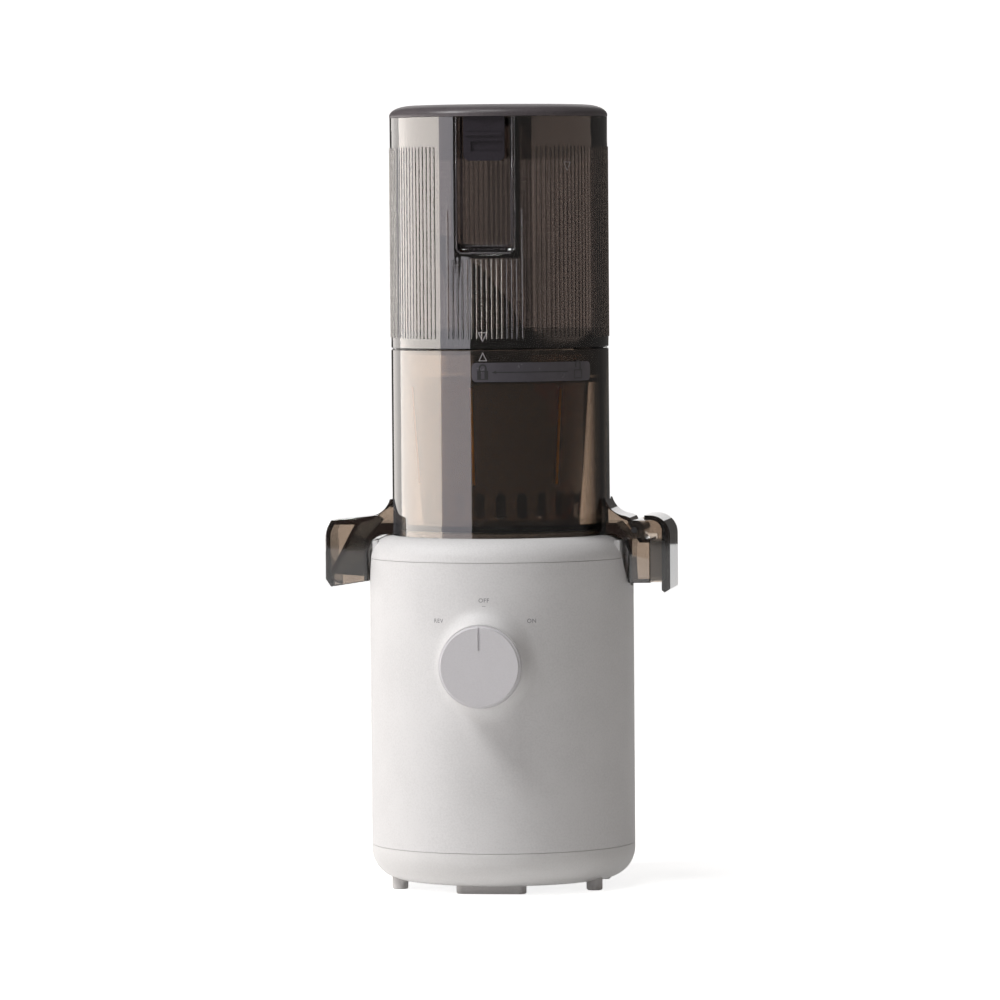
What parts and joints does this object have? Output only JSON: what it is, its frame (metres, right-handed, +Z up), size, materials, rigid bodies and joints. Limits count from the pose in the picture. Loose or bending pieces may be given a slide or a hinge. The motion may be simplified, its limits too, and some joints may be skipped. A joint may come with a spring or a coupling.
{
  "type": "cold press juicer",
  "caption": "Upright cold press juicer: white drum base with a turning dial, clear bowl with pulp and juice spouts, amber strainer, auger and tall ribbed hopper with a hinged lid.",
  "frame": {"origin": "on the surface that the feet stand on, below the middle of the outline; the machine's upright axis is at y = 7.5 mm", "axes": "+Z up, -Y the front with the dial, +X the juice spout"},
  "size_m": [0.1738, 0.153, 0.39],
  "materials": {
    "white_plastic": "fine matt grain",
    "cover_plastic": "matt",
    "grey_plastic": "satin",
    "charcoal_plastic": "fine matt grain",
    "black_plastic": "satin",
    "smoky_clear": "clear, smoky tint",
    "amber_clear": "clear amber",
    "plate_black": "gloss",
    "rubber": "matt",
    "dark_rubber": "matt",
    "steel": "brushed",
    "bronze": "sintered",
    "copper": "wound wire",
    "gear_plastic": "moulded",
    "board": "laminate",
    "part_blue": "moulded"
  },
  "bodies": {
    "base": {"rubber_feet": "rubber", "front_foot": "rubber", "bottom_cover": "cover_plastic", "cover_screws": "steel", "base_shell": "white_plastic", "cord_gland": "dark_rubber", "top_cover": "white_plastic", "deck_seal": "dark_rubber", "gear_axle": "steel", "gearbox_housing": "black_plastic", "gearbox_cover": "black_plastic", "gearbox_screws": "steel", "shaft_bushes": "bronze", "motor_can": "steel", "motor_stator": "steel", "field_coils": "copper", "motor_screws": "steel", "rotary_switch": "black_plastic", "switch_nut": "steel", "control_board": "board", "capacitor": "part_blue"},
    "output_train": {"output_gear": "gear_plastic", "drive_shaft": "steel", "gear_key": "steel"},
    "compound_train": {"compound_gear": "gear_plastic"},
    "motor_rotor_set": {"motor_rotor": "steel", "motor_pinion": "steel", "motor_fan": "black_plastic"},
    "dial_set": {"dial": "grey_plastic", "switch_spindle": "steel"},
    "bowl_set": {"bowl": "smoky_clear", "bowl_packing": "dark_rubber", "lock_plate": "plate_black", "cap_pins": "black_plastic", "strainer": "amber_clear"},
    "cap_set": {"juice_cap": "smoky_clear", "cap_seal": "dark_rubber"},
    "auger_set": {"auger": "black_plastic", "auger_socket": "steel"},
    "hopper_set": {"hopper": "smoky_clear", "hopper_seal": "dark_rubber", "lid_pin": "steel"},
    "lid_set": {"lid": "charcoal_plastic", "lid_skirt": "smoky_clear"}
  },
  "joints": [
    {"name": "rotor_spin", "type": "hinge", "parent": "base", "child": "motor_rotor_set", "pos_m": [0, 0.0155, 0.06], "axis": [0, 0, 1], "continuous": true},
    {"name": "compound_spin", "type": "hinge", "parent": "base", "child": "compound_train", "pos_m": [0, 0.0425, 0.105], "axis": [0, 0, 1], "continuous": true},
    {"name": "output_spin", "type": "hinge", "parent": "base", "child": "output_train", "pos_m": [0, 0.0075, 0.15], "axis": [0, 0, 1], "continuous": true},
    {"name": "auger_spin", "type": "hinge", "parent": "bowl_set", "child": "auger_set", "pos_m": [0, 0.0075, 0.21], "axis": [0, 0, 1], "continuous": true},
    {"name": "dial_turn", "type": "hinge", "parent": "base", "child": "dial_set", "pos_m": [0, -0.0625, 0.1147], "axis": [0, -1, 0], "range_deg": [-45, 45]},
    {"name": "bowl_lift", "type": "slide", "parent": "base", "child": "bowl_set", "axis": [0, 0, 1], "range_m": [0, 0.06]},
    {"name": "cap_hinge", "type": "hinge", "parent": "bowl_set", "child": "cap_set", "pos_m": [0.069, 0.0075, 0.1786], "axis": [0, -1, 0], "range_deg": [0, 60]},
    {"name": "hopper_turn", "type": "hinge", "parent": "bowl_set", "child": "hopper_set", "pos_m": [0, 0.0075, 0.27], "axis": [0, 0, 1], "range_deg": [0, 55]},
    {"name": "lid_hinge", "type": "hinge", "parent": "hopper_set", "child": "lid_set", "pos_m": [0, 0.0659, 0.3838], "axis": [-1, 0, 0], "range_deg": [0, 100]}
  ],
  "couplings": [
    {"joint": "compound_spin", "follows": "rotor_spin", "ratio": -0.22727},
    {"joint": "output_spin", "follows": "rotor_spin", "ratio": 0.061983},
    {"joint": "auger_spin", "follows": "rotor_spin", "ratio": 0.061983}
  ]
}
